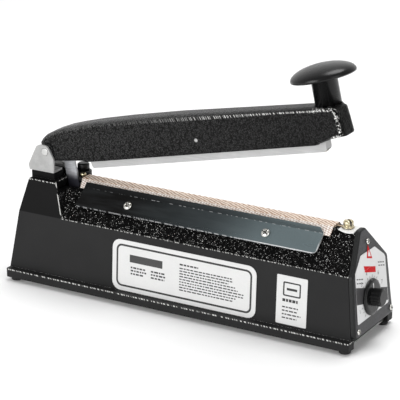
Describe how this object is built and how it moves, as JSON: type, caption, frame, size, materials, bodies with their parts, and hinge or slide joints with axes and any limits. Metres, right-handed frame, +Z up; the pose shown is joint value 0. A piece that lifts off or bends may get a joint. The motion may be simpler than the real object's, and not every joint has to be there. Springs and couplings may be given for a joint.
{
  "type": "impulse heat sealer",
  "caption": "Bench impulse heat sealer for plastic bags: die-cast body with a heated seal line under PTFE cloth, a hinged pressing arm with a mushroom handle, and an end timer knob.",
  "frame": {"origin": "centre of the bounding box in plan, at the underside of the feet, with the arm open as stored", "axes": "+X along the seal line towards the timer end, +Y away from the operator to the side the cable leaves, +Z up"},
  "size_m": [0.3116, 0.0754, 0.2049],
  "materials": {
    "satin_black_paint": "satin black paint on a casting, crackled and glittering on the slopes",
    "hammered_black_paint": "black hammered paint",
    "dark_grey_plastic": "fine moulded grain",
    "black_plastic": "smooth",
    "zinc_plate": "bright zinc plate",
    "bright_steel": "brushed",
    "polished_dark_steel": "polished, dark reflections",
    "heating_alloy": "rolled resistance ribbon",
    "black_rubber": "matt",
    "silicone_rubber": "smooth",
    "ptfe_glass_cloth": "woven glass coated with PTFE, tan",
    "white_card": "printed",
    "white_insulator": "smooth",
    "black_insulator": "smooth",
    "brass_screw": "turned",
    "core_iron": "stacked laminations",
    "copper_coil": "wound enamelled wire under tape",
    "circuit_board": "green solder mask"
  },
  "bodies": {
    "base": {"housing": "satin_black_paint", "end_cap": "dark_grey_plastic", "switch_collar": "black_plastic", "switch_body": "black_plastic", "base_plate": "zinc_plate", "foot_screw_1": "zinc_plate", "foot_screw_2": "zinc_plate", "foot_screw_3": "zinc_plate", "foot_screw_4": "zinc_plate", "cap_screw_1": "zinc_plate", "cap_screw_2": "zinc_plate", "cap_screw_3": "zinc_plate", "timer_nut": "zinc_plate", "timer_potentiometer": "zinc_plate", "hinge_bracket": "zinc_plate", "bracket_screw_1": "zinc_plate", "bracket_screw_2": "zinc_plate", "spring_anchor": "zinc_plate", "clamp_screw_near_1": "zinc_plate", "clamp_screw_near_2": "zinc_plate", "clamp_screw_far_1": "zinc_plate", "clamp_screw_far_2": "zinc_plate", "transformer_screw_1": "zinc_plate", "transformer_screw_2": "zinc_plate", "hinge_pin": "bright_steel", "return_spring": "bright_steel", "clamp_plate_near": "polished_dark_steel", "clamp_plate_far": "polished_dark_steel", "heating_element": "heating_alloy", "foot_1": "black_rubber", "foot_2": "black_rubber", "foot_3": "black_rubber", "foot_4": "black_rubber", "cable_grommet": "black_rubber", "ptfe_cloth": "ptfe_glass_cloth", "insulating_tape": "ptfe_glass_cloth", "dial_label": "white_card", "rating_label": "white_card", "approval_sticker": "white_card", "insulator_right": "white_insulator", "insulator_left": "black_insulator", "terminal_screw_right": "brass_screw", "terminal_screw_left": "brass_screw", "transformer_core": "core_iron", "transformer_coil": "copper_coil", "timer_board": "circuit_board"},
    "arm": {"arm": "hammered_black_paint", "handle_knob": "black_plastic", "knob_bolt": "zinc_plate", "return_lever": "zinc_plate", "lever_screw": "zinc_plate", "bar_pin": "bright_steel"},
    "bar": {"pressure_bar": "bright_steel", "silicone_pad": "silicone_rubber"},
    "timer": {"timer_knob": "black_plastic", "timer_shaft": "zinc_plate"},
    "plunger": {"switch_plunger": "black_plastic"}
  },
  "joints": [
    {"name": "arm_hinge", "type": "hinge", "parent": "base", "child": "arm", "pos_m": [-0.13127, 0, 0.1037], "axis": [0, 1, 0], "range_deg": [0, 12.8], "stiffness_Nm_per_rad": 1.2, "springref_deg": -51.57, "deforming": ["return_spring"]},
    {"name": "bar_rock", "type": "hinge", "parent": "arm", "child": "bar", "pos_m": [0.00289, 0, 0.13336], "axis": [0, 1, 0], "range_deg": [-0.25, 0.25], "stiffness_Nm_per_rad": 1.5},
    {"name": "timer_turn", "type": "hinge", "parent": "base", "child": "timer", "pos_m": [0.14489, -0.004, 0.0352], "axis": [0.9953, 0, 0.0965], "range_deg": [-135, 135]},
    {"name": "switch_press", "type": "slide", "parent": "base", "child": "plunger", "axis": [0, 0, -1], "range_m": [0, 0.002], "stiffness_N_per_m": 200, "springref_m": -0.002}
  ],
  "couplings": [
    {"joint": "switch_press", "follows": "arm_hinge", "m_per_rad": 0.00895}
  ]
}
